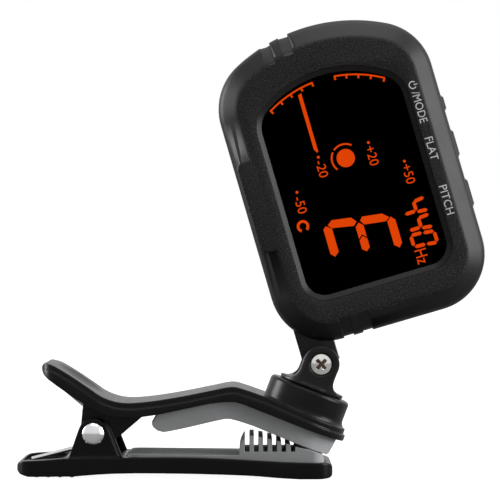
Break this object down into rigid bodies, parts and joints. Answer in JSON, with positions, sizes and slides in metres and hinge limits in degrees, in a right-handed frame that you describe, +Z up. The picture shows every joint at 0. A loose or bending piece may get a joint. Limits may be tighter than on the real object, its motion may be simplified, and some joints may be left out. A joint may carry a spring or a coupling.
{
  "type": "clip on tuner",
  "caption": "Sprung clip with rubber-padded jaws that carries an arched display head on a swivel and a tilt joint, with side buttons and a coin cell inside.",
  "frame": {"origin": "floor point under the middle of the part's box; the clip's lowest edges lie on z = 0", "axes": "+X towards the jaw tips, +Y away from the display's face, +Z up; the display faces -Y"},
  "size_m": [0.088, 0.0194, 0.0862],
  "materials": {
    "clip_plastic": "gloss black moulding",
    "fork_plastic": "satin black moulding",
    "pad_rubber": "matte grey rubber",
    "rivet_chrome": "polished",
    "spring_steel": "drawn wire",
    "screw_nickel": "nickel plated",
    "shell_plastic": "fine spark texture",
    "lens_plastic": "polished smoked acrylic",
    "panel_glass": "display glass",
    "guide_plastic": "white light guide",
    "strip_rubber": "layered conductive rubber",
    "board_laminate": "green solder mask",
    "chip_resin": "moulded epoxy",
    "can_steel": "plated can",
    "piezo_brass": "brass disc",
    "contact_metal": "plated spring strip",
    "button_plastic": "satin black",
    "screw_black": "black oxide"
  },
  "bodies": {
    "clip_base": {"lower_jaw": "clip_plastic", "lower_pad": "pad_rubber", "pivot_pin": "rivet_chrome", "torsion_spring": "spring_steel"},
    "upper_clip": {"upper_jaw": "clip_plastic", "upper_pad": "pad_rubber"},
    "fork": {"swivel_fork": "fork_plastic", "swivel_washer": "screw_nickel", "swivel_screw": "screw_nickel", "tilt_screw": "screw_nickel", "tilt_nut": "screw_nickel"},
    "head": {"neck": "fork_plastic", "front_bezel": "shell_plastic", "rear_housing": "shell_plastic", "display_lens": "lens_plastic", "lcd_panel": "panel_glass", "backlight": "guide_plastic", "zebra_strip": "strip_rubber", "circuit_board": "board_laminate", "tuner_chip": "chip_resin", "amplifier_chip": "chip_resin", "crystal": "can_steel", "tact_switches": "can_steel", "piezo_disc": "piezo_brass", "battery": "can_steel", "battery_contact_positive": "contact_metal", "battery_contact_negative": "contact_metal", "housing_screws": "screw_black"},
    "battery_cover": {"battery_cover": "shell_plastic"},
    "mode_button": {"mode_button": "button_plastic"},
    "flat_button": {"flat_button": "button_plastic"},
    "pitch_button": {"pitch_button": "button_plastic"}
  },
  "joints": [
    {"name": "jaw_hinge", "type": "hinge", "parent": "clip_base", "child": "upper_clip", "pos_m": [-0.0292, 0, 0.0084], "axis": [0, -1, 0], "range_deg": [0, 28], "stiffness_Nm_per_rad": 0.15, "springref_deg": -60.16, "deforming": ["torsion_spring"]},
    {"name": "swivel", "type": "hinge", "parent": "upper_clip", "child": "fork", "pos_m": [0.01155, 0, 0.01643], "axis": [0.3584, 0, 0.9336], "continuous": true},
    {"name": "tilt", "type": "hinge", "parent": "fork", "child": "head", "pos_m": [0.01338, 0, 0.02119], "axis": [0, 1, 0], "range_deg": [-40, 70]},
    {"name": "battery_cover_turn", "type": "hinge", "parent": "head", "child": "battery_cover", "pos_m": [0.01924, 0, 0.05547], "axis": [0, 1, 0], "range_deg": [0, 45]},
    {"name": "mode_button_press", "type": "slide", "parent": "head", "child": "mode_button", "axis": [-0.9598, 0, -0.2807], "range_m": [0, 0.0004], "stiffness_N_per_m": 500},
    {"name": "flat_button_press", "type": "slide", "parent": "head", "child": "flat_button", "axis": [-0.9598, 0, -0.2807], "range_m": [0, 0.0004], "stiffness_N_per_m": 500},
    {"name": "pitch_button_press", "type": "slide", "parent": "head", "child": "pitch_button", "axis": [-0.9598, 0, -0.2807], "range_m": [0, 0.0004], "stiffness_N_per_m": 500}
  ]
}
